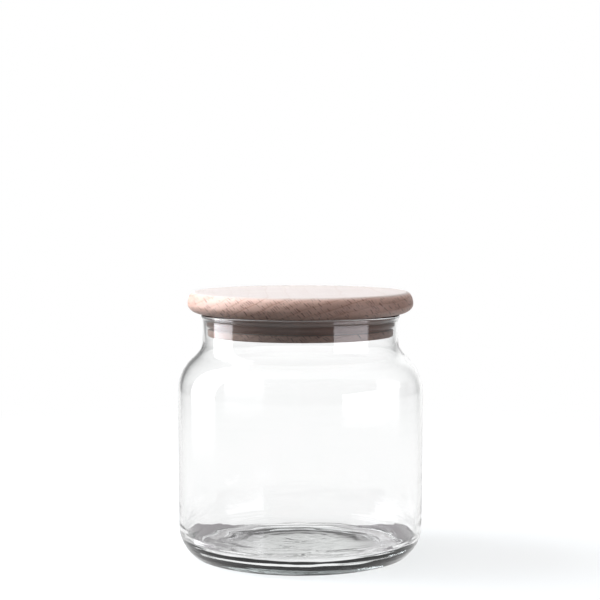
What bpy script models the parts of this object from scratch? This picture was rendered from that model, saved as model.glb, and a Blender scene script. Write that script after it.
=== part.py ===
"""Half-litre glass storage jar with a turned beech stopper lid and a two-finned silicone seal.

Three separate pieces stand on one upright axis. The jar is a single blown glass shell: thin at the
neck, thicker towards a heavy base, with a rounded shoulder, a fire-polished rim and a base pushed up
inside its bearing ring. The lid is one turned piece of beech, a disc with a round rim above a plug
that hangs in the neck. The seal is a soft ring that lies in a groove of the plug, and its two fins
reach for the wall of the neck.

Lengths are in metres, +Z is up, and the origin lies under the jar, in the plane that it stands on.
Run it with blender --background --python part.py, or from the text editor.
"""

import math

import bpy

# Outside of the jar, from the rim down to the plane it stands on
JAR_HEIGHT = 0.0961
NECK_RADIUS = 0.0391
BODY_RADIUS = 0.0490
FOOT_RADIUS = 0.0487
SHOULDER_HEIGHT = 0.0656
SHOULDER_ARC = 0.0171
NECK_ARC = 0.0075
SHOULDER_SLOPE = math.radians(47.5)
HEEL_ARC = 0.01535
HEEL_SLOPE = math.radians(48.7)
FOOT_ARC = 0.00185

# Rim of the jar
RIM_BEAD = 0.0006
RIM_BEAD_DROP = 0.00155
RIM_TOP_ARC = 0.0009

# Thickness of the glass
NECK_WALL = 0.0012
BODY_WALL = 0.0015
FOOT_WALL = 0.0032

# Inside of the base, a shallow bowl, and the hollow pushed up under it
FLOOR_HEIGHT = 0.0048
FLOOR_SLOPE = math.radians(3.5)
FLOOR_ARC = 0.0120
BEARING_WIDTH = 0.0030
PUSH_UP_RISE = 0.0014

# Disc of the lid, above the rim
LID_OVERHANG = 0.0059
LID_UNDER_DEPTH = 0.0038
LID_UPPER_DEPTH = 0.0048
LID_UNDER_ROUND = 0.0056
LID_UPPER_ROUND = 0.0031

# Plug of the lid, inside the neck
PLUG_LENGTH = 0.0089
PLUG_EDGE_ROUND = 0.0006
GROOVE_HEIGHT = 0.0060
GROOVE_DEPTH = 0.0022

# Seal
SEAL_BAND = 0.0010
UPPER_FIN_THICKNESS = 0.0013
LOWER_FIN_THICKNESS = 0.0024
UPPER_FIN_DROP = 0.0012
LOWER_FIN_RISE = 0.0017

# Clearances between neighbouring pieces
SEAT_GAP = 0.0003
GROOVE_GAP = 0.0003
FIN_GAP = 0.0003
PLUG_GAP = 0.0009

# Facets round the axis, and straight pieces in each kind of curve
TURN_STEPS = 64
LONG_ARC_PARTS = 7
SHORT_ARC_PARTS = 4
WALL_PARTS = 5

MERGE_DISTANCE = 0.00001
SMOOTH_ANGLE = math.radians(40)

# Sizes that follow from the ones above
NECK_BORE_RADIUS = NECK_RADIUS - NECK_WALL
PLUG_RADIUS = NECK_BORE_RADIUS - PLUG_GAP
GROOVE_RADIUS = PLUG_RADIUS - GROOVE_DEPTH
LID_RADIUS = NECK_RADIUS + LID_OVERHANG


def arc(centre, radii, start, end, parts):
    """Points on an upright ellipse about centre, from angle start to end in degrees, both included."""
    points = []
    for index in range(parts + 1):
        angle = math.radians(start + (end - start) * index / parts)
        points.append((centre[0] + radii[0] * math.cos(angle), centre[1] + radii[1] * math.sin(angle)))
    return points


def dome(edge_radius, edge_height, rise, parts):
    """Points on a shallow dome, or a bowl where rise is negative, from the axis out to its edge."""
    points = []
    for index in range(parts + 1):
        share = index / parts
        points.append((edge_radius * share, edge_height + rise * (1 - share ** 2)))
    return points


def shoulder(body_radius, shoulder_arc, neck_radius, neck_arc):
    """Points up the shoulder: the arc off the body, a straight slope and the reverse arc into the neck."""
    slope = SHOULDER_SLOPE
    lower_centre = (body_radius - shoulder_arc, SHOULDER_HEIGHT)
    lower = arc(lower_centre, (shoulder_arc, shoulder_arc), 0, math.degrees(slope), LONG_ARC_PARTS)
    slope_start = lower[-1]
    slope_run = slope_start[0] + neck_arc * math.cos(slope) - neck_radius - neck_arc
    slope_length = slope_run / math.sin(slope)
    slope_end_height = slope_start[1] + slope_length * math.cos(slope)
    upper_centre = (neck_radius + neck_arc, slope_end_height + neck_arc * math.sin(slope))
    upper = arc(upper_centre, (neck_arc, neck_arc), 180 + math.degrees(slope), 180, SHORT_ARC_PARTS)
    return lower + upper


def heel():
    """Points round the foot: the wide heel arc under the wall, then the small arc onto the bearing ring."""
    slope_sine = math.sin(HEEL_SLOPE)
    heel_centre = (FOOT_RADIUS - HEEL_ARC, FOOT_ARC + (HEEL_ARC - FOOT_ARC) * slope_sine)
    foot_centre = (heel_centre[0] + (HEEL_ARC - FOOT_ARC) * math.cos(HEEL_SLOPE), FOOT_ARC)
    heel_arc = arc(heel_centre, (HEEL_ARC, HEEL_ARC), 0, -math.degrees(HEEL_SLOPE), LONG_ARC_PARTS)
    foot_arc = arc(foot_centre, (FOOT_ARC, FOOT_ARC), -math.degrees(HEEL_SLOPE), -90, SHORT_ARC_PARTS)
    return heel_arc + foot_arc


def inner_wall(low, high):
    """Points up the inside of the wall, which grows thinner from the foot to the shoulder."""
    points = []
    for index in range(WALL_PARTS + 1):
        share = index / WALL_PARTS
        height = low[1] + (high[1] - low[1]) * share
        points.append((high[0] + (low[0] - high[0]) * (1 - share) ** 2, height))
    return points


def jar_outline():
    """The glass from the middle of its floor, over the rim and down the outside to the push-up."""
    corner_radius = FOOT_RADIUS - FOOT_WALL - FLOOR_ARC
    floor_radius = corner_radius + FLOOR_ARC * math.sin(FLOOR_SLOPE)
    floor_rise = floor_radius * math.tan(FLOOR_SLOPE) / 2
    floor = dome(floor_radius, FLOOR_HEIGHT + floor_rise, -floor_rise, SHORT_ARC_PARTS)
    corner_centre = (corner_radius, floor[-1][1] + FLOOR_ARC * math.cos(FLOOR_SLOPE))
    corner_start = math.degrees(FLOOR_SLOPE) - 90
    corner = arc(corner_centre, (FLOOR_ARC, FLOOR_ARC), corner_start, 0, LONG_ARC_PARTS)
    inner_shoulder = shoulder(BODY_RADIUS - BODY_WALL, SHOULDER_ARC - BODY_WALL,
                              NECK_BORE_RADIUS, NECK_ARC + NECK_WALL)
    wall = inner_wall(corner[-1], inner_shoulder[0])

    bead_radius = NECK_RADIUS + RIM_BEAD
    rim_half = (NECK_WALL + RIM_BEAD) / 2
    rim_centre = (bead_radius - rim_half, JAR_HEIGHT - RIM_TOP_ARC)
    rim = arc(rim_centre, (rim_half, RIM_TOP_ARC), 180, 0, 2 * SHORT_ARC_PARTS)
    bead = []
    for index in range(1, SHORT_ARC_PARTS + 1):
        share = index / SHORT_ARC_PARTS
        swell = (1 + math.cos(math.pi * share)) / 2
        bead.append((NECK_RADIUS + RIM_BEAD * swell, JAR_HEIGHT - RIM_TOP_ARC - RIM_BEAD_DROP * share))

    outer_shoulder = shoulder(BODY_RADIUS, SHOULDER_ARC, NECK_RADIUS, NECK_ARC)
    foot = heel()
    bearing_inner_radius = foot[-1][0] - BEARING_WIDTH
    push_up = dome(bearing_inner_radius, 0, PUSH_UP_RISE, SHORT_ARC_PARTS)
    inside = floor + corner + wall[1:-1] + inner_shoulder
    outside = outer_shoulder[::-1] + foot + push_up[::-1]
    return inside + rim + bead + outside


def lid_outline():
    """The beech lid from the middle of its top, round its rim, under it and down the grooved plug."""
    top = LID_UNDER_DEPTH + LID_UPPER_DEPTH
    upper_centre = (LID_RADIUS - LID_UPPER_ROUND, LID_UNDER_DEPTH)
    upper = arc(upper_centre, (LID_UPPER_ROUND, LID_UPPER_DEPTH), 90, 0, LONG_ARC_PARTS)
    under_centre = (LID_RADIUS - LID_UNDER_ROUND, LID_UNDER_DEPTH)
    under = arc(under_centre, (LID_UNDER_ROUND, LID_UNDER_DEPTH), 0, -90, LONG_ARC_PARTS)
    groove = [(GROOVE_RADIUS, 0), (GROOVE_RADIUS, -GROOVE_HEIGHT)]
    edge_radius = PLUG_RADIUS - PLUG_EDGE_ROUND
    edge_radii = (PLUG_EDGE_ROUND, PLUG_EDGE_ROUND)
    land_edge = arc((edge_radius, -GROOVE_HEIGHT - PLUG_EDGE_ROUND), edge_radii, 90, 0, SHORT_ARC_PARTS)
    end_edge = arc((edge_radius, PLUG_EDGE_ROUND - PLUG_LENGTH), edge_radii, 0, -90, SHORT_ARC_PARTS)
    return [(0, top)] + upper + under + groove + land_edge + end_edge + [(0, -PLUG_LENGTH)]


def fin(tip_radius, root_radius, height, thickness):
    """Points round one fin of the seal, over its round tip from top to bottom."""
    half = thickness / 2
    tip = arc((tip_radius - half, height), (half, half), 90, -90, SHORT_ARC_PARTS)
    return [(root_radius, height + half)] + tip + [(root_radius, height - half)]


def seal_outline():
    """The closed section of the seal: a band against the plug with two round-tipped fins."""
    inner_radius = GROOVE_RADIUS + GROOVE_GAP
    band_radius = inner_radius + SEAL_BAND
    tip_radius = NECK_BORE_RADIUS - FIN_GAP
    top = -GROOVE_GAP
    bottom = GROOVE_GAP - GROOVE_HEIGHT
    upper_fin = fin(tip_radius, band_radius, top - UPPER_FIN_DROP, UPPER_FIN_THICKNESS)
    lower_fin = fin(tip_radius, band_radius, bottom + LOWER_FIN_RISE, LOWER_FIN_THICKNESS)
    outer = [(band_radius, top)] + upper_fin + lower_fin + [(band_radius, bottom)]
    return [(inner_radius, top)] + outer + [(inner_radius, bottom)]


def without_repeats(outline):
    """The outline with each point that repeats the one before it left out."""
    kept = [outline[0]]
    for point in outline[1:]:
        if math.dist(point, kept[-1]) > MERGE_DISTANCE:
            kept.append(point)
    return kept


def material(name, colour, roughness, transmission, index):
    """A Principled material with its colour, roughness, clearness and refractive index."""
    made = bpy.data.materials.new(name)
    made.use_nodes = True
    shader = made.node_tree.nodes["Principled BSDF"]
    shader.inputs["Base Color"].default_value = (*colour, 1)
    shader.inputs["Roughness"].default_value = roughness
    shader.inputs["Metallic"].default_value = 0
    shader.inputs["Transmission Weight"].default_value = transmission
    shader.inputs["IOR"].default_value = index
    made.diffuse_color = (*colour, 1)
    return made


def turned(name, outline, closed, finish, collection, parent):
    """One turned piece: its outline in the XZ plane, screwed once round the upright axis."""
    points = without_repeats(outline)
    edges = [(index, index + 1) for index in range(len(points) - 1)]
    if closed:
        edges.append((len(points) - 1, 0))
    mesh = bpy.data.meshes.new(name)
    mesh.from_pydata([(radius, 0, height) for radius, height in points], edges, [])
    mesh.materials.append(finish)
    piece = bpy.data.objects.new(name, mesh)
    collection.objects.link(piece)
    piece.parent = parent
    screw = piece.modifiers.new("turn", "SCREW")
    screw.axis = "Z"
    screw.angle = math.tau
    screw.steps = TURN_STEPS
    screw.render_steps = TURN_STEPS
    screw.use_merge_vertices = True
    screw.merge_threshold = MERGE_DISTANCE
    screw.use_smooth_shade = True
    mesh.set_sharp_from_angle(angle=SMOOTH_ANGLE)
    return piece


def clear_scene():
    """Removes the objects of the scene that Blender starts with."""
    for thing in list(bpy.data.objects):
        bpy.data.objects.remove(thing, do_unlink=True)


def build():
    """Makes the jar where it stands, and the lid with its seal on an empty at the seat."""
    clear_scene()
    collection = bpy.data.collections.new("storage_jar")
    bpy.context.scene.collection.children.link(collection)
    glass = material("clear_glass", (0.96, 0.98, 0.97), 0.02, 1, 1.52)
    beech = material("oiled_beech", (0.62, 0.44, 0.34), 0.55, 0, 1.5)
    silicone = material("clear_silicone", (0.80, 0.76, 0.72), 0.30, 0.6, 1.41)

    turned("glass_jar", jar_outline(), False, glass, collection, None)

    lid_seat = bpy.data.objects.new("lid_seat", None)
    lid_seat.location = (0, 0, JAR_HEIGHT + SEAT_GAP)
    collection.objects.link(lid_seat)
    turned("wooden_lid", lid_outline(), False, beech, collection, lid_seat)
    turned("seal_ring", seal_outline(), True, silicone, collection, lid_seat)


build()
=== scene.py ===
"""Looks of a half-litre glass storage jar with a turned beech stopper lid and a clear silicone seal.

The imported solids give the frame. Each piece is turned again as a fine mesh in its own place: the blown
glass with its ripples, the beech lid and the two-finned seal. Lengths are in metres and +Z is up.
"""

import logging
import math
from dataclasses import dataclass, field
from enum import Enum
from typing import Any

import bpy
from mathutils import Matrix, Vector


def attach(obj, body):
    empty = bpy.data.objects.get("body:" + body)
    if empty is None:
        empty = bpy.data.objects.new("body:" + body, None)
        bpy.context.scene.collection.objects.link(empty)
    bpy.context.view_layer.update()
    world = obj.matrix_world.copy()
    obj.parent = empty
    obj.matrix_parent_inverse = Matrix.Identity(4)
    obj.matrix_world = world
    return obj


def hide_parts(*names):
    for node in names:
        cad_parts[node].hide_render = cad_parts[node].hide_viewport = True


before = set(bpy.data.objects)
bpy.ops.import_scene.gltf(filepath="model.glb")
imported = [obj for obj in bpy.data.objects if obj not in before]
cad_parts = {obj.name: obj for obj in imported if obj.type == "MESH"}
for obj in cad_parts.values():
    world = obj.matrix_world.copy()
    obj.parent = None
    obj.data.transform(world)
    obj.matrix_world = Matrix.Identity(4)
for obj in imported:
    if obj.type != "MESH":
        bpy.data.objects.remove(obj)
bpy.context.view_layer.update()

LOG = logging.getLogger("storage_jar")

Point = tuple[float, float]
Range = tuple[float, float]
Triple = tuple[float, float, float]
Colour = tuple[float, float, float]
Socket = bpy.types.NodeSocket

MILLIMETRE = 0.001
MERGE_DISTANCE = 0.000001
FACETS = 288
SHARP_ANGLE = math.radians(50)
WHITE: Colour = (1.0, 1.0, 1.0)


class Body(Enum):
    """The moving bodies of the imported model."""

    JAR = "jar"
    LID = "lid"


class Slot(Enum):
    """The material slots of the record."""

    GLASS = "clear_glass"
    BEECH = "beech"
    SILICONE = "silicone"


class Along(Enum):
    """Names of the values that a turned mesh carries at its points."""

    OUTLINE = "along_outline"
    RIPPLE = "ripple_share"


def rgba(colour: Any) -> Any:
    """A colour as an input takes it: a socket as it is, anything else with an alpha of one."""
    return colour if isinstance(colour, bpy.types.NodeSocket) else (*colour, 1)


@dataclass
class Drawing:
    """A node tree while it is drawn."""

    tree: bpy.types.NodeTree

    def feed(self, value: Any, socket: Socket) -> None:
        """Feeds an input.

        Args:
            value: What goes in: another socket is linked, anything else is set.
            socket: The input.
        """
        if isinstance(value, bpy.types.NodeSocket):
            self.tree.links.new(value, socket)
        else:
            socket.default_value = value

    def fill(self, made: bpy.types.Node, values: dict[str, Any]) -> None:
        """Feeds the first inputs in use that have the given names."""
        for name, value in values.items():
            self.feed(value, next(one for one in made.inputs if one.name == name and one.enabled))

    def node(self, kind: str, values: dict[Any, Any] | None = None, **settings: Any) -> bpy.types.Node:
        """Adds one node and feeds its inputs.

        Args:
            kind: Blender's name of the node type.
            values: What goes into each input, by name or number.
            settings: Properties of the node itself.

        Returns:
            The new node.
        """
        made = self.tree.nodes.new(kind)
        for name, value in settings.items():
            setattr(made, name, value)
        for place, value in (values or {}).items():
            self.feed(value, made.inputs[place])
        return made

    def opened(self, inputs: dict[str, str], outputs: dict[str, str]) -> dict[str, Socket]:
        """Gives a node group its named inputs and outputs.

        Args:
            inputs: The socket type of each input, without the words NodeSocket.
            outputs: The same for each output.

        Returns:
            What the group is given, by name.
        """
        for way, kinds in (("INPUT", inputs), ("OUTPUT", outputs)):
            for name, kind in kinds.items():
                self.tree.interface.new_socket(name=name, in_out=way, socket_type="NodeSocket" + kind)
        given = self.tree.nodes.new("NodeGroupInput")
        return {name: given.outputs[name] for name in inputs}

    def math(self, operation: str, *values: Any) -> Socket:
        """The result of one sum on numbers."""
        return self.node("ShaderNodeMath", dict(enumerate(values)), operation=operation).outputs[0]

    def whole(self, operation: str, first: Any, second: Any) -> Socket:
        """The result of one sum on whole numbers."""
        return self.node("FunctionNodeIntegerMath", {0: first, 1: second}, operation=operation).outputs[0]

    def step(self, value: Any, low: float, high: float, to_low: float = 0.0, to_high: float = 1.0) -> Socket:
        """A smooth step from one level to another.

        Args:
            value: What is tested.
            low: Where the step starts.
            high: Where it ends.
            to_low: The level before it.
            to_high: The level after it.

        Returns:
            The stepped value.
        """
        made = self.node("ShaderNodeMapRange", interpolation_type="SMOOTHSTEP")
        self.fill(made, {"Value": value, "From Min": low, "From Max": high})
        self.fill(made, {"To Min": to_low, "To Max": to_high})
        return made.outputs["Result"]

    def mix(self, share: Any, first: Any, second: Any) -> Socket:
        """A number between two others."""
        return self.node("ShaderNodeMix", {0: share, 2: first, 3: second}, data_type="FLOAT").outputs[0]

    def blend(self, share: Any, first: Any, second: Any) -> Socket:
        """A colour between two others."""
        colours = {0: share, 6: rgba(first), 7: rgba(second)}
        return self.node("ShaderNodeMix", colours, data_type="RGBA").outputs[2]

    def shader(self, share: Any, first: Socket, second: Socket) -> Socket:
        """A shader between two others."""
        return self.node("ShaderNodeMixShader", {0: share, 1: first, 2: second}).outputs[0]

    def glow(self, colour: Any, strength: float = 1.0) -> Socket:
        """A shader that gives out its own light."""
        return self.node("ShaderNodeEmission", {"Color": rgba(colour), "Strength": strength}).outputs[0]

    def matt(self, level: float) -> Socket:
        """A dull grey shader."""
        return self.node("ShaderNodeBsdfDiffuse", {"Color": (level, level, level, 1)}).outputs[0]

    def scaled(self, vector: Any, scale: Triple) -> Socket:
        """A vector with each of its parts multiplied."""
        return self.node("ShaderNodeVectorMath", {0: vector, 1: scale}, operation="MULTIPLY").outputs[0]

    def stretched(self, vector: Any, scale: Any) -> Socket:
        """A vector made longer or shorter."""
        return self.node("ShaderNodeVectorMath", {0: vector, "Scale": scale}, operation="SCALE").outputs[0]

    def noise(self, vector: Any, detail: Any = 2.0, roughness: Any = 0.5) -> Socket:
        """Soft noise of scale one, from about 0.2 to 0.8."""
        values = {"Vector": vector, "Scale": 1.0, "Detail": detail, "Roughness": roughness}
        return self.node("ShaderNodeTexNoise", values).outputs[0]

    def swing(self, vector: Any, detail: Any = 2.0, roughness: Any = 0.5) -> Socket:
        """The same noise, about zero."""
        return self.math("SUBTRACT", self.noise(vector, detail, roughness), 0.5)

    def off_centre(self, value: Socket) -> Socket:
        """How far a value is from the middle of its cell, when cells are one wide."""
        return self.math("ABSOLUTE", self.math("SUBTRACT", self.math("FRACT", value), 0.5))

    def chance(self, value: Socket) -> Socket:
        """A random level from 0 to 1, fixed by a number."""
        return self.node("ShaderNodeTexWhiteNoise", {"W": value}, noise_dimensions="1D").outputs["Value"]

    def carried(self, name: Along) -> Socket:
        """A value that the mesh carries at its points."""
        made = self.node("GeometryNodeInputNamedAttribute", {"Name": name.value}, data_type="FLOAT")
        return made.outputs[0]


def ray_kinds(drawing: Drawing) -> tuple[Socket, Socket]:
    """Tells the rays of the eye from the rays of glass and gloss.

    Args:
        drawing: The tree.

    Returns:
        One for rays of the camera, and one for glossy and transmission rays.
    """
    path = drawing.node("ShaderNodeLightPath").outputs
    glassy = drawing.math("MAXIMUM", path["Is Glossy Ray"], path["Is Transmission Ray"])
    return path["Is Camera Ray"], glassy


@dataclass
class Outline:
    """A turned outline that grows point by point, each a radius, a height and a share of the ripple."""

    spacing: float
    ripple: float = 0.0
    points: list[Triple] = field(default_factory=list)
    fewest_arc_parts: int = 8

    def add(self, radius: float, height: float) -> "Outline":
        """Adds one point, unless it repeats the last.

        Args:
            radius: Its radius.
            height: Its height.

        Returns:
            The outline itself.
        """
        if not self.points or math.dist(self.points[-1][:2], (radius, height)) > MERGE_DISTANCE:
            self.points.append((radius, height, self.ripple))
        return self

    def line(self, radius: float, height: float) -> "Outline":
        """Runs straight to a new point, in steps of two spacings.

        Args:
            radius: Radius of the new point.
            height: Height of the new point.

        Returns:
            The outline itself.
        """
        start = self.points[-1]
        parts = max(1, round(math.dist(start[:2], (radius, height)) / self.spacing / 2))
        for index in range(1, parts + 1):
            share = index / parts
            self.add(start[0] + (radius - start[0]) * share, start[1] + (height - start[1]) * share)
        return self

    def arc(self, centre: Point, radii: Point, start: float, end: float) -> "Outline":
        """Runs along an upright ellipse.

        Args:
            centre: Radius and height of the ellipse's middle.
            radii: Its half width and half height.
            start: Angle where the stretch starts, in degrees from straight outwards.
            end: Angle where it ends.

        Returns:
            The outline itself.
        """
        length = math.radians(abs(end - start)) * max(radii)
        parts = max(self.fewest_arc_parts, round(length / self.spacing))
        for index in range(parts + 1):
            angle = math.radians(start + (end - start) * index / parts)
            self.add(centre[0] + radii[0] * math.cos(angle), centre[1] + radii[1] * math.sin(angle))
        return self

    def swell(self, edge_radius: float, heights: tuple[float, ...], outwards: bool) -> "Outline":
        """Runs over a smooth swell between the axis and its edge.

        Args:
            edge_radius: Radius of its edge.
            heights: Heights at even steps of the radius, from the axis to the edge.
            outwards: True to run from the axis to the edge.

        Returns:
            The outline itself.
        """
        spans = len(heights) - 1
        rises = [later - earlier for earlier, later in zip(heights, heights[1:])]
        slopes = [0.0, *((first + second) / 2 for first, second in zip(rises, rises[1:])), rises[-1]]
        parts = round(edge_radius / self.spacing / 2)
        for step in range(parts + 1) if outwards else range(parts, -1, -1):
            span = min(step * spans // parts, spans - 1)
            share = step * spans / parts - span
            start = (1 + 2 * share) * heights[span] + share * slopes[span]
            end = (3 - 2 * share) * heights[span + 1] - (1 - share) * slopes[span + 1]
            self.add(edge_radius * step / parts, (1 - share) ** 2 * start + share ** 2 * end)
        return self

    def bend(self, radius: float, height: float, slope: float, tension: float) -> "Outline":
        """Runs up a smooth bend that starts at a slope and ends upright.

        Args:
            radius: Radius where it ends.
            height: Height where it ends.
            slope: Rise per run where it starts.
            tension: How far it keeps to its first and last direction.

        Returns:
            The outline itself.
        """
        start = self.points[-1][:2]
        run, rise = radius - start[0], height - start[1]
        first = (start[0] + run * tension, start[1] + slope * run * tension)
        last = (radius, height - rise * tension)
        corners = (start, first, last, (radius, height))
        parts = round(math.hypot(run, rise) / self.spacing)
        for step in range(1, parts + 1):
            share = step / parts
            rest = 1 - share
            weights = (rest ** 3, 3 * rest ** 2 * share, 3 * rest * share ** 2, share ** 3)
            self.add(sum(weight * corner[0] for weight, corner in zip(weights, corners)),
                     sum(weight * corner[1] for weight, corner in zip(weights, corners)))
        return self

    def closed(self) -> "Outline":
        """Ends the outline where it began."""
        self.points.append(self.points[0])
        return self


@dataclass(frozen=True)
class Ripple:
    """The waves that hot glass keeps: their depth, and how many fit along the outline and round it."""

    depth: float = 0.0
    rows: float = 20.0
    turns: float = 3.0
    seed: float = 0.0
    detail: float = 3.0
    roughness: float = 0.55


@dataclass
class Lathe:
    """The Geometry Nodes tree that turns an outline once round the upright axis."""

    tree: bpy.types.NodeTree | None = None

    def drawn(self) -> bpy.types.NodeTree:
        """Draws the tree the first time that it is needed.

        Returns:
            The tree, which lays the outline round, ripples the mesh and dresses it.
        """
        if self.tree is None:
            self.tree = bpy.data.node_groups.new("turned_form", "GeometryNodeTree")
            drawing = Drawing(self.tree)
            given = drawing.opened({
                "Outline": "Geometry",
                "Steps": "Int",
                "Ripple Depth": "Float",
                "Ripple Rows": "Float",
                "Ripple Turns": "Float",
                "Ripple Detail": "Float",
                "Ripple Roughness": "Float",
                "Seed": "Float",
                "Finish": "Material",
            }, {"Turned": "Geometry"})
            laid = self.laid(drawing, given)
            self.dress(drawing, self.rippled(drawing, given, laid), given["Finish"])
        return self.tree

    def laid(self, drawing: Drawing, given: dict[str, Socket]) -> Socket:
        """Lays a grid of points on the turned outline and welds its seam and its poles.

        Args:
            drawing: The tree.
            given: The inputs of the tree.

        Returns:
            The turned mesh, which carries the place along the outline and the share of the ripple.
        """
        outline, steps = given["Outline"], given["Steps"]
        count = drawing.node("GeometryNodeAttributeDomainSize", {0: outline}).outputs["Point Count"]
        columns = drawing.whole("ADD", steps, 1)
        grid = drawing.node("GeometryNodeMeshGrid", {"Vertices X": columns, "Vertices Y": count}).outputs[0]
        index = drawing.node("GeometryNodeInputIndex").outputs[0]
        row = drawing.whole("MODULO", index, count)
        column = drawing.whole("DIVIDE_FLOOR", index, count)
        position = drawing.node("GeometryNodeInputPosition").outputs[0]
        place = drawing.node("GeometryNodeSampleIndex", data_type="FLOAT_VECTOR")
        drawing.fill(place, {"Geometry": outline, "Value": position, "Index": row})
        waves = drawing.node("GeometryNodeSampleIndex", data_type="FLOAT")
        drawing.fill(waves, {"Geometry": outline, "Value": drawing.carried(Along.RIPPLE), "Index": row})
        angle = drawing.math("MULTIPLY", drawing.math("DIVIDE", column, steps), math.tau)
        turned = drawing.node("ShaderNodeVectorRotate", rotation_type="Z_AXIS")
        drawing.fill(turned, {"Vector": place.outputs[0], "Angle": angle})
        made = drawing.node("GeometryNodeSetPosition", {"Geometry": grid, "Position": turned.outputs[0]})

        kept = made.outputs[0]
        share = drawing.math("DIVIDE", row, count)
        for name, value in ((Along.OUTLINE, share), (Along.RIPPLE, waves.outputs[0])):
            store = drawing.node("GeometryNodeStoreNamedAttribute", data_type="FLOAT", domain="POINT")
            drawing.fill(store, {"Geometry": kept, "Name": name.value, "Value": value})
            kept = store.outputs[0]
        welded = drawing.node("GeometryNodeMergeByDistance", {"Geometry": kept, "Distance": MERGE_DISTANCE})
        return welded.outputs[0]

    def rippled(self, drawing: Drawing, given: dict[str, Socket], laid: Socket) -> Socket:
        """Pushes the points in and out along their normals.

        Args:
            drawing: The tree.
            given: The inputs of the tree.
            laid: The turned mesh.

        Returns:
            The rippled mesh.
        """
        position = drawing.node("GeometryNodeInputPosition").outputs[0]
        axes = drawing.node("ShaderNodeSeparateXYZ", {0: position})
        level = drawing.node("ShaderNodeCombineXYZ", {0: axes.outputs[0], 1: axes.outputs[1]}).outputs[0]
        around = drawing.node("ShaderNodeVectorMath", {0: level}, operation="NORMALIZE").outputs[0]
        round_it = drawing.stretched(around, given["Ripple Turns"])
        rows = drawing.math("MULTIPLY", drawing.carried(Along.OUTLINE), given["Ripple Rows"])
        shifted = drawing.math("ADD", rows, given["Seed"])
        lift = drawing.node("ShaderNodeCombineXYZ", {2: shifted}).outputs[0]
        where = drawing.node("ShaderNodeVectorMath", {0: round_it, 1: lift}, operation="ADD").outputs[0]
        swing = drawing.swing(where, given["Ripple Detail"], given["Ripple Roughness"])
        depth = drawing.math("MULTIPLY", drawing.carried(Along.RIPPLE), given["Ripple Depth"])
        normal = drawing.node("GeometryNodeInputNormal").outputs[0]
        push = drawing.stretched(normal, drawing.math("MULTIPLY", swing, depth))
        return drawing.node("GeometryNodeSetPosition", {"Geometry": laid, "Offset": push}).outputs[0]

    def dress(self, drawing: Drawing, waved: Socket, finish: Socket) -> None:
        """Turns the faces outwards, smooths them and gives them their material.

        Args:
            drawing: The tree.
            waved: The finished shape.
            finish: Its material.
        """
        outwards = drawing.node("GeometryNodeFlipFaces", {"Mesh": waved}).outputs[0]
        smooth = drawing.node("GeometryNodeSetShadeSmooth", {"Geometry": outwards}).outputs[0]
        real = drawing.node("GeometryNodeRealizeInstances", {"Geometry": smooth}).outputs[0]
        dressed = drawing.node("GeometryNodeSetMaterial", {"Geometry": real, "Material": finish}).outputs[0]
        drawing.node("NodeGroupOutput", {"Turned": dressed})

    def turn(self, name: str, outline: Outline, ripple: Ripple,
             finish: bpy.types.Material) -> bpy.types.Object:
        """Turns an outline into a plain mesh object.

        Args:
            name: Name of the piece.
            outline: Its outline, running down its outer side.
            ripple: The waves in its surface.
            finish: Its material.

        Returns:
            The piece, with its place in its mesh and no modifier on it.
        """
        mesh = bpy.data.meshes.new(name + "_outline")
        mesh.from_pydata([(radius, 0, height) for radius, height, _ in outline.points],
                         [(index, index + 1) for index in range(len(outline.points) - 1)], [])
        shares = mesh.attributes.new(Along.RIPPLE.value, "FLOAT", "POINT")
        shares.data.foreach_set("value", [share for _, _, share in outline.points])
        draft = bpy.data.objects.new(name + "_outline", mesh)
        bpy.context.scene.collection.objects.link(draft)
        modifier = draft.modifiers.new("lathe", "NODES")
        modifier.node_group = self.drawn()
        settings = {
            "Steps": FACETS,
            "Ripple Depth": ripple.depth,
            "Ripple Rows": ripple.rows,
            "Ripple Turns": ripple.turns,
            "Ripple Detail": ripple.detail,
            "Ripple Roughness": ripple.roughness,
            "Seed": ripple.seed,
            "Finish": finish,
        }
        sockets = {one.name: one.identifier for one in modifier.node_group.interface.items_tree}
        for setting, value in settings.items():
            modifier[sockets[setting]] = value
        depsgraph = bpy.context.evaluated_depsgraph_get()
        turned = bpy.data.meshes.new_from_object(draft.evaluated_get(depsgraph), depsgraph=depsgraph)
        draft.modifiers.remove(modifier)
        bpy.data.objects.remove(draft, do_unlink=True)
        turned.name = name
        piece = bpy.data.objects.new(name, turned)
        bpy.context.scene.collection.objects.link(piece)
        return piece


@dataclass(frozen=True)
class HandlingMarks:
    """The shared marks of handling: cloudy smears and fine dust, as masks over the surface."""

    smears: Range = (0.42, 0.68)
    specks: Range = (0.10, 0.18)
    dusty_patches: Range = (0.52, 0.62)

    def group(self) -> bpy.types.NodeTree:
        """Draws the shared group.

        Returns:
            The group, with the two sizes as inputs and the two masks as outputs.
        """
        tree = bpy.data.node_groups.new("handling_marks", "ShaderNodeTree")
        drawing = Drawing(tree)
        given = drawing.opened({"Place": "Vector", "Smear Size": "Float", "Dust Size": "Float"},
                               {"Smears": "Float", "Dust": "Float"})
        wide = drawing.stretched(given["Place"], drawing.math("DIVIDE", 1.0, given["Smear Size"]))
        fine = drawing.stretched(given["Place"], drawing.math("DIVIDE", 1.0, given["Dust Size"]))
        cloud = drawing.noise(wide, detail=4.0, roughness=0.6)
        grit = drawing.node("ShaderNodeTexVoronoi", {"Vector": fine, "Scale": 1.0}, feature="F1")
        speck = drawing.step(grit.outputs["Distance"], *self.specks, 1.0, 0.0)
        scatter = drawing.step(drawing.noise(wide, detail=1.0), *self.dusty_patches)
        drawing.node("NodeGroupOutput", {
            "Smears": drawing.step(cloud, *self.smears),
            "Dust": drawing.math("MULTIPLY", speck, scatter),
        })
        return tree


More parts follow.
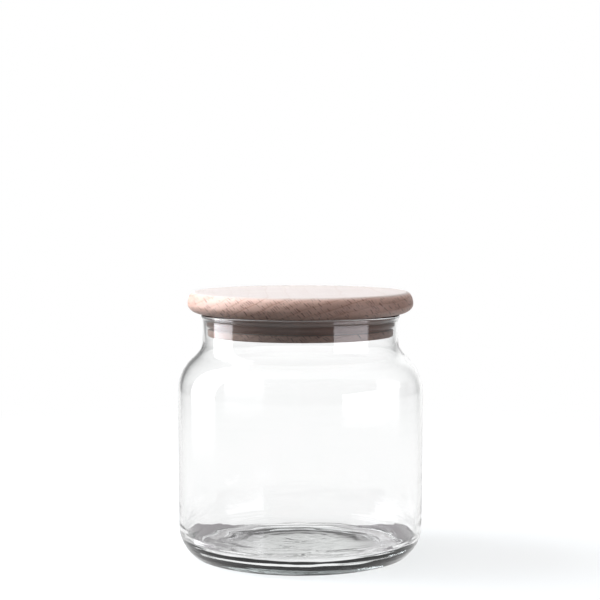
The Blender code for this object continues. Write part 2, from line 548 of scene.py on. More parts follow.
@dataclass(frozen=True)
class BeechBlock:
    """Beech as a solid block: X runs along the rings, Y along the fibres and Z away from the pith.

    A scale is in waves per metre along those three. Late wood is the dark line that ends each year's ring,
    and rays are the short dark flecks that stand in lanes across the rings.
    """

    wander: float = 4.0 * MILLIMETRE
    wander_scale: Triple = (45.0, 14.0, 45.0)
    tremble: float = 0.25 * MILLIMETRE
    tremble_scale: Triple = (500.0, 90.0, 500.0)
    line_rise: Range = (0.86, 0.95)
    line_fall: Range = (0.965, 1.0)
    after_line: float = 0.45
    after_strength: float = 0.22
    weakest_year: float = 0.45
    lane_width: float = 0.80 * MILLIMETRE
    lane_sway: float = 2.6
    sway_scale: Triple = (420.0, 150.0, 160.0)
    fleck_height: float = 2.7 * MILLIMETRE
    height_shift: float = 5.7
    fleck_length: float = 2.6 * MILLIMETRE
    length_shift: float = 7.3
    fleck_side: Range = (0.12, 0.30)
    fleck_end: Range = (0.30, 0.46)
    fleck_chance: Range = (0.25, 0.95)
    faintest_fleck: float = 0.10
    pore_scale: Triple = (6500.0, 520.0, 6500.0)
    pores: Range = (0.60, 0.70)
    patch_scale: Triple = (120.0, 30.0, 160.0)

    def group(self) -> bpy.types.NodeTree:
        """Draws the group.

        Returns:
            The group, with the size of the rings as inputs and a mask for each feature as outputs.
        """
        tree = bpy.data.node_groups.new("beech_block", "ShaderNodeTree")
        drawing = Drawing(tree)
        masks = dict.fromkeys(("Late Wood", "Rays", "Pores", "Patches"), "Float")
        given = drawing.opened({"Place": "Vector", "Ring Width": "Float", "Pith Depth": "Float"}, masks)
        place = given["Place"]
        dots = drawing.noise(drawing.scaled(place, self.pore_scale), detail=1.0)
        drawing.node("NodeGroupOutput", {
            "Late Wood": self.late_wood(drawing, given),
            "Rays": self.rays(drawing, place),
            "Pores": drawing.step(dots, *self.pores),
            "Patches": drawing.noise(drawing.scaled(place, self.patch_scale), detail=3.0),
        })
        return tree

    def late_wood(self, drawing: Drawing, given: dict[str, Socket]) -> Socket:
        """Draws the rings, each year with a strength of its own.

        Args:
            drawing: The tree of the group.
            given: Its inputs.

        Returns:
            The mask of the late wood.
        """
        place = given["Place"]
        axes = drawing.node("ShaderNodeSeparateXYZ", {0: place})
        deep = drawing.math("ADD", axes.outputs[2], given["Pith Depth"])
        across = drawing.math("MULTIPLY", axes.outputs[0], axes.outputs[0])
        reach = drawing.math("SQRT", drawing.math("ADD", across, drawing.math("MULTIPLY", deep, deep)))
        for scale, depth in ((self.wander_scale, self.wander), (self.tremble_scale, self.tremble)):
            swing = drawing.swing(drawing.scaled(place, scale))
            reach = drawing.math("ADD", reach, drawing.math("MULTIPLY", swing, depth))
        years = drawing.math("DIVIDE", reach, given["Ring Width"])
        season = drawing.math("FRACT", years)
        line = drawing.math("MULTIPLY", drawing.step(season, *self.line_rise),
                            drawing.step(season, *self.line_fall, 1.0, 0.0))
        after = drawing.step(season, 0.0, self.after_line, self.after_strength, 0.0)
        year = drawing.chance(drawing.math("FLOOR", years))
        strength = drawing.math("MULTIPLY_ADD", year, 1 - self.weakest_year, self.weakest_year)
        return drawing.math("MULTIPLY", drawing.math("MAXIMUM", line, after), strength)

    def rays(self, drawing: Drawing, place: Socket) -> Socket:
        """Draws the flecks, in swaying lanes of uneven cells.

        Args:
            drawing: The tree of the group.
            place: The place in the block.

        Returns:
            The mask of the flecks.
        """
        axes = drawing.node("ShaderNodeSeparateXYZ", {0: place})
        swing = drawing.swing(drawing.scaled(place, self.sway_scale), detail=3.0)
        sway = drawing.math("MULTIPLY", swing, self.lane_sway)
        lanes = drawing.math("MULTIPLY_ADD", axes.outputs[0], 1 / self.lane_width, sway)
        lane = drawing.math("FLOOR", lanes)
        start = drawing.chance(lane)
        level = drawing.math("MULTIPLY_ADD", axes.outputs[2], 1 / self.fleck_height,
                             drawing.math("MULTIPLY", start, self.height_shift))
        along = drawing.math("MULTIPLY_ADD", axes.outputs[1], 1 / self.fleck_length,
                             drawing.math("MULTIPLY", start, self.length_shift))
        cell = drawing.node("ShaderNodeCombineXYZ", {
            0: lane,
            1: drawing.math("FLOOR", along),
            2: drawing.math("FLOOR", level),
        })
        chance = drawing.node("ShaderNodeTexWhiteNoise", {"Vector": cell.outputs[0]}, noise_dimensions="3D")
        strength = drawing.step(chance.outputs["Value"], *self.fleck_chance, self.faintest_fleck, 1.0)
        beside = drawing.step(drawing.off_centre(lanes), *self.fleck_side, 1.0, 0.0)
        ends = drawing.step(drawing.off_centre(level), *self.fleck_end, 1.0, 0.0)
        return drawing.math("MULTIPLY", drawing.math("MULTIPLY", beside, ends), strength)


def finish_material(slot: Slot) -> tuple[bpy.types.Material, Drawing, bpy.types.Node, Socket]:
    """Starts a material.

    Args:
        slot: The slot that it is for.

    Returns:
        The material, its tree, its Principled shader and the Object coordinates.
    """
    made = bpy.data.materials.new(slot.value)
    made.use_nodes = True
    drawing = Drawing(made.node_tree)
    place = drawing.node("ShaderNodeTexCoord").outputs["Object"]
    return made, drawing, made.node_tree.nodes["Principled BSDF"], place


def let_light_through(drawing: Drawing, shader: bpy.types.Node, tint: Colour) -> None:
    """Lets lamps shine straight through a clear shell, where a dark shadow would otherwise lie.

    Args:
        drawing: The material's tree.
        shader: Its Principled shader.
        tint: What is left of the light that has passed.
    """
    path = drawing.node("ShaderNodeLightPath").outputs
    passing = drawing.math("MAXIMUM", path["Is Shadow Ray"], path["Is Diffuse Ray"])
    clear = drawing.node("ShaderNodeBsdfTransparent", {"Color": rgba(tint)}).outputs[0]
    mixed = drawing.shader(passing, shader.outputs[0], clear)
    drawing.feed(mixed, drawing.tree.nodes["Material Output"].inputs["Surface"])


@dataclass(frozen=True)
class ClearGlass:
    """Clear soda-lime glass with a faint green depth, smears of handling and a soft wave."""

    index: float = 1.52
    depth_colour: Colour = (0.70, 0.83, 0.83)
    density: float = 9.0
    smear_size: float = 18 * MILLIMETRE
    dust_size: float = 0.9 * MILLIMETRE
    smear_colour: Colour = (0.992, 0.996, 0.995)
    smear_roughness: float = 0.012
    wave_size: float = 9 * MILLIMETRE
    wave_depth: float = 0.1 * MILLIMETRE
    wave_strength: float = 0.02
    passing: Colour = (0.78, 0.80, 0.80)

    def material(self, marks: bpy.types.NodeTree) -> bpy.types.Material:
        """Makes the glass.

        Args:
            marks: The shared group of handling marks.

        Returns:
            The material.
        """
        made, drawing, shader, place = finish_material(Slot.GLASS)
        worn = drawing.node("ShaderNodeGroup", node_tree=marks)
        drawing.fill(worn, {"Place": place, "Smear Size": self.smear_size, "Dust Size": self.dust_size})
        smears = worn.outputs["Smears"]
        wave = drawing.noise(drawing.scaled(place, (1 / self.wave_size,) * 3), detail=1.0)
        bump = drawing.node("ShaderNodeBump", {
            "Strength": self.wave_strength,
            "Distance": self.wave_depth,
            "Height": wave,
        })
        drawing.fill(shader, {
            "Base Color": drawing.blend(smears, WHITE, self.smear_colour),
            "Roughness": drawing.math("MULTIPLY", smears, self.smear_roughness),
            "IOR": self.index,
            "Transmission Weight": 1.0,
            "Normal": bump.outputs[0],
        })
        let_light_through(drawing, shader, self.passing)
        depth = drawing.node("ShaderNodeVolumeAbsorption", {
            "Color": rgba(self.depth_colour),
            "Density": self.density,
        })
        drawing.feed(depth.outputs[0], drawing.tree.nodes["Material Output"].inputs["Volume"])
        return made


@dataclass(frozen=True)
class TurnedBeech:
    """Pale steamed beech, its fibres towards the front and its rings on a slope, sanded and oiled.

    The top of the lid has a painted sheen: up-facing wood takes a greyer colour, and its figure has all but
    faded there.
    """

    pale: Colour = (0.71, 0.465, 0.38)
    late: Colour = (0.38, 0.18, 0.12)
    ray: Colour = (0.19, 0.085, 0.06)
    # Painted sheen of the top: the colour that up-facing wood takes in place of the pale wood.
    painted_top_sheen: Colour = (0.54, 0.46, 0.425)
    fibre_turn: float = math.radians(3)
    ring_slope: float = math.radians(44)
    ring_width: float = 3.0 * MILLIMETRE
    pith_depth: float = 80 * MILLIMETRE
    smear_size: float = 14 * MILLIMETRE
    dust_size: float = 0.7 * MILLIMETRE
    # Where up-facing wood takes the painted sheen, and how far the figure fades under it.
    facing_up: Range = (0.55, 0.98)
    fading: float = 0.90
    patches: Range = (0.35, 0.7)
    patch_strength: float = 0.22
    late_strength: float = 0.90
    ray_strength: float = 0.78
    pore_strength: float = 0.30
    roughness: float = 0.52
    smear_roughness: float = 0.44
    late_roughness: float = 0.08
    coat: float = 0.15
    coat_roughness: float = 0.38
    pore_relief: float = -1.0
    ray_relief: float = -0.35
    relief_depth: float = 0.08 * MILLIMETRE
    relief_strength: float = 0.5

    def material(self, marks: bpy.types.NodeTree, grain: bpy.types.NodeTree) -> bpy.types.Material:
        """Makes the wood.

        Args:
            marks: The shared group of handling marks.
            grain: The group that holds the block of wood.

        Returns:
            The material.
        """
        made, drawing, shader, place = finish_material(Slot.BEECH)
        cut = drawing.node("ShaderNodeMapping", {"Vector": place}, vector_type="TEXTURE")
        cut.inputs["Rotation"].default_value = (0, -self.ring_slope, self.fibre_turn)
        block = drawing.node("ShaderNodeGroup", node_tree=grain)
        drawing.fill(block, {"Place": cut.outputs[0], "Ring Width": self.ring_width})
        drawing.fill(block, {"Pith Depth": self.pith_depth})
        worn = drawing.node("ShaderNodeGroup", node_tree=marks)
        drawing.fill(worn, {"Place": place, "Smear Size": self.smear_size, "Dust Size": self.dust_size})
        smooth = drawing.mix(worn.outputs["Smears"], self.roughness, self.smear_roughness)
        relief = drawing.math("MULTIPLY_ADD", block.outputs["Pores"], self.pore_relief,
                              drawing.math("MULTIPLY", block.outputs["Rays"], self.ray_relief))
        bump = drawing.node("ShaderNodeBump", {
            "Strength": self.relief_strength,
            "Distance": self.relief_depth,
            "Height": relief,
        })
        late_wood = block.outputs["Late Wood"]
        drawing.fill(shader, {
            "Base Color": self.figure(drawing, block),
            "Roughness": drawing.math("MULTIPLY_ADD", late_wood, self.late_roughness, smooth),
            "Coat Weight": self.coat,
            "Coat Roughness": self.coat_roughness,
            "Normal": bump.outputs[0],
        })
        return made

    def figure(self, drawing: Drawing, block: bpy.types.Node) -> Socket:
        """Colours the wood, layer upon layer.

        Args:
            drawing: The material's tree.
            block: The node of the block of wood.

        Returns:
            The colour.
        """
        # The painted sheen: up-facing wood is blended to a greyer colour and its figure fades.
        normal = drawing.node("ShaderNodeNewGeometry").outputs["Normal"]
        upright = drawing.node("ShaderNodeSeparateXYZ", {0: normal}).outputs[2]
        facing_up = drawing.step(upright, *self.facing_up)
        faded = drawing.math("SUBTRACT", 1.0, drawing.math("MULTIPLY", facing_up, self.fading))
        patches = drawing.step(block.outputs["Patches"], *self.patches, 0.0, self.patch_strength)
        shown = drawing.blend(facing_up, self.pale, self.painted_top_sheen)
        shown = drawing.blend(drawing.math("MULTIPLY", patches, faded), shown, self.late)
        layers = (
            ("Late Wood", self.late_strength, self.late),
            ("Rays", self.ray_strength, self.ray),
            ("Pores", self.pore_strength, self.ray),
        )
        for layer, share, colour in layers:
            kept = drawing.math("MULTIPLY", faded, share)
            shown = drawing.blend(drawing.math("MULTIPLY", block.outputs[layer], kept), shown, colour)
        return shown


@dataclass(frozen=True)
class ClearSilicone:
    """Clear silicone with a satin skin and a little dust."""

    body: Colour = (0.50, 0.30, 0.24)
    dust: Colour = (0.55, 0.36, 0.30)
    index: float = 1.41
    clearness: float = 0.60
    smear_size: float = 9 * MILLIMETRE
    dust_size: float = 0.35 * MILLIMETRE
    roughness: float = 0.28
    smear_roughness: float = 0.33
    passing: Colour = (0.80, 0.77, 0.74)

    def material(self, marks: bpy.types.NodeTree) -> bpy.types.Material:
        """Makes the silicone.

        Args:
            marks: The shared group of handling marks.

        Returns:
            The material.
        """
        made, drawing, shader, place = finish_material(Slot.SILICONE)
        worn = drawing.node("ShaderNodeGroup", node_tree=marks)
        drawing.fill(worn, {"Place": place, "Smear Size": self.smear_size, "Dust Size": self.dust_size})
        drawing.fill(shader, {
            "Base Color": drawing.blend(worn.outputs["Dust"], self.body, self.dust),
            "Roughness": drawing.mix(worn.outputs["Smears"], self.roughness, self.smear_roughness),
            "IOR": self.index,
            "Transmission Weight": self.clearness,
        })
        let_light_through(drawing, shader, self.passing)
        return made


def ride_on(piece: bpy.types.Object, body: Body, node: str) -> bpy.types.Object:
    """Fixes a finished piece to its body and hides the solid that it stands for.

    Args:
        piece: The finished piece.
        body: What it moves with.
        node: The solid that it replaces.

    Returns:
        The piece.
    """
    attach(piece, body.value)
    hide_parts(node)
    return piece


@dataclass
class GlassJar:
    """The blown glass shell: outside, fire-polished rim, wall and a thin, nearly flat base."""

    height: float = 0.0961
    neck_radius: float = 0.0391
    body_radius: float = 0.0490
    foot_radius: float = 0.0487
    shoulder_height: float = 0.0656
    shoulder_arc: float = 0.0171
    neck_arc: float = 0.0075
    slope: float = 47.5
    heel_arc: float = 0.01535
    heel_slope: float = 48.7
    foot_arc: float = 0.00185
    rim_bead: float = 0.0006
    rim_drop: float = 0.00155
    rim_arc: float = 0.0009
    neck_wall: float = 0.0012
    body_wall: float = 0.0015
    foot_wall: float = 0.00162
    floor_radius: float = 0.03695
    floor_heights: tuple[float, ...] = (0.0039, 0.0039, 0.00395, 0.0041, 0.0036)
    corner_rise: float = 0.00488
    corner_tension: float = 0.55
    bearing_inner: float = 0.03609
    underside: tuple[float, ...] = (0.0007, 0.0007, 0.0007, 0.0006, 0.0)
    ripple: Ripple = Ripple(depth=0.25 * MILLIMETRE, rows=150.0, turns=1.6, seed=4.0)
    floor_ripple: float = 1.0
    corner_ripple: float = 2.0
    wall_ripple: float = 0.12
    heel_ripple: float = 2.4
    foot_ripple: float = 0.5
    ripple_fading: int = 8
    spacing: float = 0.55 * MILLIMETRE
    wall_parts: int = 60
    bead_parts: int = 12

    def shoulder(self, outline: Outline, wall: float, neck: float, upwards: bool) -> None:
        """Adds the shoulder, outside or inside.

        Args:
            outline: The outline that gets the points.
            wall: Thickness taken off the body, zero outside.
            neck: Thickness taken off the neck, zero outside.
            upwards: True to run from the body to the neck.
        """
        slope = math.radians(self.slope)
        body, low_arc = self.body_radius - wall, self.shoulder_arc - wall
        bore, high_arc = self.neck_radius - neck, self.neck_arc + neck
        low = (body - low_arc, self.shoulder_height)
        start = (low[0] + low_arc * math.cos(slope), low[1] + low_arc * math.sin(slope))
        run = start[0] + high_arc * math.cos(slope) - bore - high_arc
        high = (bore + high_arc, start[1] + run / math.tan(slope) + high_arc * math.sin(slope))
        if upwards:
            outline.arc(low, (low_arc, low_arc), 0, self.slope)
            outline.arc(high, (high_arc, high_arc), 180 + self.slope, 180)
        else:
            outline.arc(high, (high_arc, high_arc), 180, 180 + self.slope)
            outline.arc(low, (low_arc, low_arc), self.slope, 0)

    def inside(self, made: Outline) -> None:
        """Adds the inside, from the middle of the floor to the top of the neck.

        Args:
            made: The outline that gets the points.
        """
        made.ripple = self.floor_ripple
        made.swell(self.floor_radius, self.floor_heights, outwards=True)
        edge = self.floor_heights[-1]
        spans = len(self.floor_heights) - 1
        slope = (edge - self.floor_heights[-2]) * spans / self.floor_radius
        made.ripple = self.corner_ripple
        made.bend(self.foot_radius - self.foot_wall, edge + self.corner_rise, slope, self.corner_tension)
        low, high = made.points[-1], (self.body_radius - self.body_wall, self.shoulder_height)
        for index in range(1, self.wall_parts):
            share = index / self.wall_parts
            rest = 1 - share
            fading = (self.corner_ripple - self.wall_ripple) * rest ** self.ripple_fading
            made.ripple = self.wall_ripple + fading
            made.add(high[0] + (low[0] - high[0]) * rest ** 2, low[1] + (high[1] - low[1]) * share)
        made.ripple = self.wall_ripple
        self.shoulder(made, self.body_wall, self.neck_wall, upwards=True)
        made.ripple = 0.0
        made.line(self.neck_radius - self.neck_wall, self.height - self.rim_arc)

    def rim(self, made: Outline) -> None:
        """Adds the rim and the soft bead under it.

        Args:
            made: The outline that gets the points.
        """
        half = (self.neck_wall + self.rim_bead) / 2
        rim_base = self.height - self.rim_arc
        made.arc((self.neck_radius + self.rim_bead - half, rim_base), (half, self.rim_arc), 180, 0)
        for index in range(1, self.bead_parts + 1):
            share = index / self.bead_parts
            swell = (1 + math.cos(math.pi * share)) / 2
            made.add(self.neck_radius + self.rim_bead * swell, rim_base - self.rim_drop * share)

    def outside(self, made: Outline) -> None:
        """Adds the outside, from the neck down to the heel, the bearing ring and the shallow underside.

        Args:
            made: The outline that gets the points.
        """
        self.shoulder(made, 0, 0, upwards=False)
        slope = math.radians(self.heel_slope)
        spare = self.heel_arc - self.foot_arc
        heel = (self.foot_radius - self.heel_arc, self.foot_arc + spare * math.sin(slope))
        foot = (heel[0] + spare * math.cos(slope), self.foot_arc)
        made.line(self.foot_radius, heel[1])
        made.ripple = self.heel_ripple
        made.arc(heel, (self.heel_arc, self.heel_arc), 0, -self.heel_slope)
        made.ripple = self.foot_ripple
        made.arc(foot, (self.foot_arc, self.foot_arc), -self.heel_slope, -90)
        made.line(self.bearing_inner, 0)
        made.swell(self.bearing_inner, self.underside, outwards=False)

    def build(self, lathe: Lathe, glass: bpy.types.Material) -> bpy.types.Object:
        """Turns the jar and fixes it to its body.

        Args:
            lathe: The shared lathe.
            glass: The jar's material.

        Returns:
            The jar.
        """
        made = Outline(self.spacing)
        self.inside(made)
        self.rim(made)
        self.outside(made)
        piece = lathe.turn("blown_jar", made, self.ripple, glass)
        return ride_on(piece, Body.JAR, "glass_jar")


@dataclass
class StopperLid:
    """The turned lid: a disc with a rounded rim above a grooved plug."""

    seat: float = 0.0964
    radius: float = 0.0450
    under_depth: float = 0.0038
    upper_depth: float = 0.0048
    under_round: float = 0.0056
    upper_round: float = 0.0031
    plug_radius: float = 0.0370
    plug_length: float = 0.0089
    edge_round: float = 0.0006
    groove_height: float = 0.0060
    groove_depth: float = 0.0022
    spacing: float = 0.3 * MILLIMETRE

    def outline(self) -> Outline:
        """Draws the lid from the middle of its top, round its rim, under it and down the plug.

        Returns:
            The outline.
        """
        seat, edge = self.seat, self.edge_round
        made = Outline(self.spacing).add(0, seat + self.under_depth + self.upper_depth)
        rim = seat + self.under_depth
        made.line(self.radius - self.upper_round, rim + self.upper_depth)
        made.arc((self.radius - self.upper_round, rim), (self.upper_round, self.upper_depth), 90, 0)
        made.arc((self.radius - self.under_round, rim), (self.under_round, self.under_depth), 0, -90)
        groove = self.plug_radius - self.groove_depth
        land = seat - self.groove_height
        made.line(groove, seat).line(groove, land)
        made.line(self.plug_radius - edge, land)
        made.arc((self.plug_radius - edge, land - edge), (edge, edge), 90, 0)
        made.line(self.plug_radius, seat - self.plug_length + edge)
        made.arc((self.plug_radius - edge, seat - self.plug_length + edge), (edge, edge), 0, -90)
        return made.line(0, seat - self.plug_length)

    def build(self, lathe: Lathe, beech: bpy.types.Material) -> bpy.types.Object:
        """Turns the lid and fixes it to its body.

        Args:
            lathe: The shared lathe.
            beech: The lid's material.

        Returns:
            The lid.
        """
        piece = lathe.turn("turned_lid", self.outline(), Ripple(), beech)
        piece.data.set_sharp_from_angle(angle=SHARP_ANGLE)
        return ride_on(piece, Body.LID, "wooden_lid")


@dataclass
class SealRing:
    """The silicone ring in the groove: a band and two round-tipped fins."""

    lid: StopperLid
    bore: float = 0.0379
    gap: float = 0.0003
    band: float = 0.0010
    upper_fin: float = 0.0013
    lower_fin: float = 0.0024
    upper_drop: float = 0.0012
    lower_rise: float = 0.0017
    spacing: float = 0.2 * MILLIMETRE

    def outline(self) -> Outline:
        """Draws the closed section of the ring, down its outer side.

        Returns:
            The outline.
        """
        inner = self.lid.plug_radius - self.lid.groove_depth + self.gap
        band, tip = inner + self.band, self.bore - self.gap
        top, bottom = self.lid.seat - self.gap, self.lid.seat - self.lid.groove_height + self.gap
        made = Outline(self.spacing).add(inner, top).add(band, top)
        fins = ((top - self.upper_drop, self.upper_fin), (bottom + self.lower_rise, self.lower_fin))
        for height, thick in fins:
            half = thick / 2
            made.add(band, height + half)
            made.arc((tip - half, height), (half, half), 90, -90)
            made.add(band, height - half)
        return made.add(band, bottom).add(inner, bottom).closed()

    def build(self, lathe: Lathe, silicone: bpy.types.Material) -> bpy.types.Object:
        """Turns the seal and fixes it to the lid's body.

        Args:
            lathe: The shared lathe.
            silicone: The seal's material.

        Returns:
            The seal.
        """
        piece = lathe.turn("finned_seal", self.outline(), Ripple(), silicone)
        piece.data.set_sharp_from_angle(angle=SHARP_ANGLE)
        return ride_on(piece, Body.LID, "seal_ring")


@dataclass(frozen=True)
class Viewpoint:
    """The camera, at the photograph's angle."""

    place: Triple = (-0.00019, -0.6305, 0.14275)
    dip: float = 3.748
    focal_pixels: float = 1581.5
    picture_pixels: float = 600.0
    sensor: float = 36.0

    def build(self) -> None:
        """Sets up the camera and gives it to the scene."""
        data = bpy.data.cameras.new("camera")
        data.sensor_width = self.sensor
        data.lens = self.focal_pixels / self.picture_pixels * self.sensor
        camera = bpy.data.objects.new("camera", data)
        camera.location = self.place
        camera.rotation_euler = (math.radians(90 - self.dip), 0, 0)
        bpy.context.scene.collection.objects.link(camera)
        bpy.context.scene.camera = camera


@dataclass(frozen=True)
class Room:
    """The surroundings: a white backdrop behind the jar, greyer walls at its sides and in front, a ceiling.

    The eye sees plain white. Glass and gloss see these walls up to a leaning edge and the ceiling above
    it, and dull surfaces get a dimmer room.
    """

    white: float = 1.10
    left: float = 0.60
    right: float = 0.25
    side_reach: float = 0.9
    front: float = 0.17
    ceiling: float = 0.30
    walls: Range = (-0.25, 0.20)
    backdrop: Range = (0.78, 0.93)
    backdrop_top: float = 9.7
    backdrop_lean: float = 0.6
    backdrop_blur: float = 7.0
    dim_front: float = 0.02
    dim_side: float = 0.55
    dim_ceiling: float = 0.12
    dim_rise: Range = (0.45, 0.80)
    least_reach: float = 0.001

    def strengths(self, drawing: Drawing) -> tuple[Socket, Socket]:
        """Works out how bright the room is in each direction.

        Args:
            drawing: The world's tree.

        Returns:
            The strength for dull surfaces, and the one for glass and gloss.
        """
        towards = drawing.node("ShaderNodeTexCoord").outputs["Generated"]
        x, y, z = drawing.node("ShaderNodeSeparateXYZ", {0: towards}).outputs
        squares = drawing.math("ADD", drawing.math("MULTIPLY", x, x), drawing.math("MULTIPLY", y, y))
        reach = drawing.math("MAXIMUM", drawing.math("SQRT", squares), self.least_reach)
        behind = drawing.math("DIVIDE", y, reach)
        around = drawing.step(behind, *self.walls)
        backdrop = drawing.step(behind, *self.backdrop)
        side = drawing.step(x, -self.side_reach, self.side_reach, self.left, self.right)
        dim_side = drawing.math("MULTIPLY", side, self.dim_side)
        walls = drawing.mix(backdrop, drawing.mix(around, self.front, side), self.white)
        dim_walls = drawing.mix(backdrop, drawing.mix(around, self.dim_front, dim_side), self.white)
        dull = drawing.mix(drawing.step(z, *self.dim_rise), dim_walls, self.dim_ceiling)
        lean = drawing.math("MULTIPLY", drawing.math("ARCTAN2", x, y), self.backdrop_lean)
        rise = drawing.math("SUBTRACT", drawing.math("ARCSINE", z), lean)
        low = math.radians(self.backdrop_top - self.backdrop_blur)
        high = math.radians(self.backdrop_top + self.backdrop_blur)
        clear = drawing.mix(drawing.step(rise, low, high), walls, self.ceiling)
        return dull, clear

    def build(self) -> None:
        """Makes the world and gives it to the scene."""
        world = bpy.data.worlds.new("studio")
        bpy.context.scene.world = world
        world.use_nodes = True
        drawing = Drawing(world.node_tree)
        eye, glassy = ray_kinds(drawing)
        dull, clear = self.strengths(drawing)
        strength = drawing.mix(eye, drawing.mix(glassy, dull, clear), 1.0)
        drawing.fill(world.node_tree.nodes["Background"], {"Color": rgba(WHITE), "Strength": strength})


@dataclass(frozen=True)
class PaleFloor:
    """The floor: white with the jar's shadow to the eye.

    Glass and gloss see a painted grey shade on it under the jar, with a light middle, straight behind and
    rounded in front, and round it white that fades out into the room. Dull surfaces get little light from
    it.
    """

    half: float = 3.0
    drop: float = 0.0003
    plain: float = 0.80
    bounce: float = 0.08
    shadow: Range = (0.12, 0.45)
    shadow_share: float = 0.24
    # Size and colours of the painted grey shade under the jar. It is lighter in its middle and is seen only
    # through glass and gloss.
    painted_shade_back: float = 0.036
    painted_shade_half_width: float = 0.060
    painted_shade_length: float = 0.066
    painted_shade_edge: Range = (0.60, 1.05)
    painted_shade_grey: Colour = (0.27, 0.25, 0.265)
    painted_shade_middle: Colour = (0.80, 0.81, 0.80)
    light_edge: Range = (0.016, 0.036)
    bright: float = 0.985
    bright_edge: Range = (0.22, 0.80)

    def under_glass(self, drawing: Drawing, place: Socket, distance: Socket) -> Socket:
        """Draws what glass and gloss see.

        Args:
            drawing: The material's tree.
            place: The place on the floor.
            distance: How far it is from the jar's axis.

        Returns:
            The shader of the painted shade and the white round it.
        """
        # Painted shade: a grey patch under the jar, straight behind and rounded in front, lighter in its
        # middle.
        x, y, _ = drawing.node("ShaderNodeSeparateXYZ", {0: place}).outputs
        before = drawing.math("SUBTRACT", y, self.painted_shade_back)
        across = drawing.math("POWER", drawing.math("DIVIDE", x, self.painted_shade_half_width), 2.0)
        forward = drawing.math("POWER", drawing.math("DIVIDE", before, self.painted_shade_length), 2.0)
        within = drawing.step(drawing.math("ADD", across, forward), *self.painted_shade_edge, 1.0, 0.0)
        on_painted_shade = drawing.math("MULTIPLY", drawing.math("LESS_THAN", before, 0.0), within)
        light = drawing.step(distance, *self.light_edge)
        painted_shade = drawing.glow(drawing.blend(light, self.painted_shade_middle, self.painted_shade_grey))
        nothing = drawing.node("ShaderNodeBsdfTransparent").outputs[0]
        white = drawing.glow(WHITE, self.bright)
        around = drawing.shader(drawing.step(distance, *self.bright_edge), white, nothing)
        return drawing.shader(on_painted_shade, around, painted_shade)

    def material(self) -> bpy.types.Material:
        """Makes the floor's material.

        Returns:
            The material.
        """
        made = bpy.data.materials.new("pale_floor")
        made.use_nodes = True
        drawing = Drawing(made.node_tree)
        eye, glassy = ray_kinds(drawing)
        place = drawing.node("ShaderNodeTexCoord").outputs["Object"]
        distance = drawing.node("ShaderNodeVectorMath", {0: place}, operation="LENGTH").outputs["Value"]
        near = drawing.step(distance, *self.shadow, self.shadow_share, 0.0)
        to_eye = drawing.shader(near, drawing.glow(WHITE), drawing.matt(self.plain))
        dull = drawing.shader(eye, drawing.matt(self.bounce), to_eye)
        seen = drawing.shader(glassy, dull, self.under_glass(drawing, place, distance))
        drawing.feed(seen, made.node_tree.nodes["Material Output"].inputs["Surface"])
        return made

    def build(self) -> None:
        """Lays the floor just under the jar."""
        mesh = bpy.data.meshes.new("floor")
        corners = ((-1, -1), (1, -1), (1, 1), (-1, 1))
        places = [(x * self.half, y * self.half, -self.drop) for x, y in corners]
        mesh.from_pydata(places, [], [(0, 1, 2, 3)])
        mesh.materials.append(self.material())
        floor = bpy.data.objects.new("floor", mesh)
        bpy.context.scene.collection.objects.link(floor)


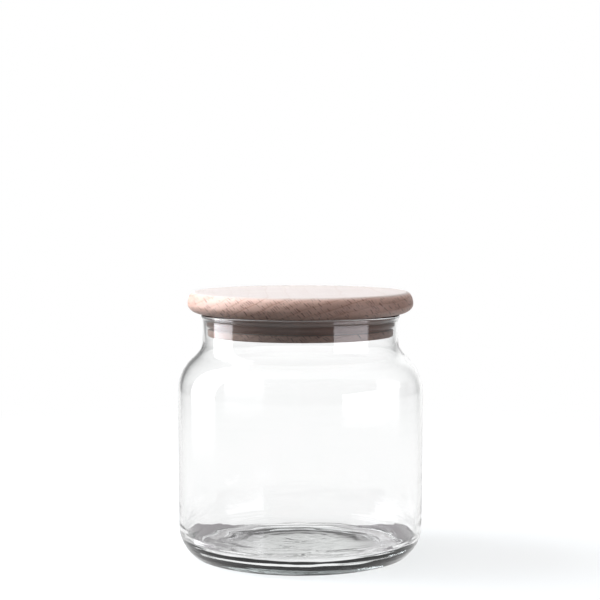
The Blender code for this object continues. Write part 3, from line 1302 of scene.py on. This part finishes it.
@dataclass(frozen=True)
class Softbox:
    """One oblong lamp, placed round the jar and turned level or down to it."""

    name: str
    azimuth: float
    away: float
    height: float
    width: float
    tall: float
    radiance: float
    tilt: float = 0.0
    colour: Colour = WHITE
    mirrored: bool = True

    def hang(self) -> None:
        """Hangs the lamp at its azimuth, counted from the front to the right, and turns it to the jar."""
        data = bpy.data.lights.new(self.name, "AREA")
        data.shape = "RECTANGLE"
        data.size = self.width
        data.size_y = self.tall
        data.energy = self.radiance * math.pi * self.width * self.tall
        data.color = self.colour
        lamp = bpy.data.objects.new(self.name, data)
        azimuth, tilt = math.radians(self.azimuth), math.radians(self.tilt)
        outwards = Vector((math.sin(azimuth), -math.cos(azimuth), 0))
        lamp.location = outwards * self.away + Vector((0, 0, self.height))
        aim = Vector((0, 0, -math.sin(tilt))) - outwards * math.cos(tilt)
        lamp.rotation_euler = aim.to_track_quat("-Z", "Y").to_euler()
        lamp.visible_camera = False
        lamp.visible_glossy = self.mirrored
        lamp.visible_transmission = self.mirrored
        bpy.context.scene.collection.objects.link(lamp)


@dataclass(frozen=True)
class Studio:
    """The camera, the room, the floor and the lamps.

    The two level softboxes also show as reflections in the glass. The high ones light the wood and show
    in nothing.
    """

    view: Viewpoint = Viewpoint()
    room: Room = Room()
    floor: PaleFloor = PaleFloor()
    left: Softbox = Softbox(name="left_softbox", azimuth=-102.6, away=1.0, height=0.77, width=0.621,
                            tall=2.06, radiance=4.0, colour=(1.0, 0.985, 1.03))
    left_fill: Softbox = Softbox(name="left_fill", azimuth=-98.0, away=1.0, height=0.94, width=0.80,
                                 tall=1.10, radiance=11.5, tilt=40.0, colour=(0.87, 1.0, 1.09),
                                 mirrored=False)
    right: Softbox = Softbox(name="right_softbox", azimuth=61.4, away=1.0, height=0.134, width=0.849,
                             tall=0.445, radiance=2.4, colour=(0.98, 0.95, 1.0))
    top: Softbox = Softbox(name="top_softbox", azimuth=-80.0, away=0.28, height=1.20, width=0.8,
                           tall=0.8, radiance=4.2, tilt=77.0, colour=(0.96, 1.0, 1.03), mirrored=False)

    def build(self) -> None:
        """Sets up the whole studio."""
        for part in (self.view, self.room, self.floor):
            part.build()
        for lamp in (self.left, self.left_fill, self.right, self.top):
            lamp.hang()


def main() -> None:
    """Makes the finishes, the three pieces and the studio, and notes the sizes."""
    logging.basicConfig(level=logging.INFO, format="%(message)s")
    bpy.context.scene.view_settings.view_transform = "Standard"
    marks = HandlingMarks().group()
    grain = BeechBlock().group()
    lathe = Lathe()
    lid = StopperLid()
    pieces = (
        GlassJar().build(lathe, ClearGlass().material(marks)),
        lid.build(lathe, TurnedBeech().material(marks, grain)),
        SealRing(lid).build(lathe, ClearSilicone().material(marks)),
    )
    for piece in pieces:
        LOG.info("%s: %d faces", piece.name, len(piece.data.polygons))
    Studio().build()


if __name__ == "__main__":
    main()
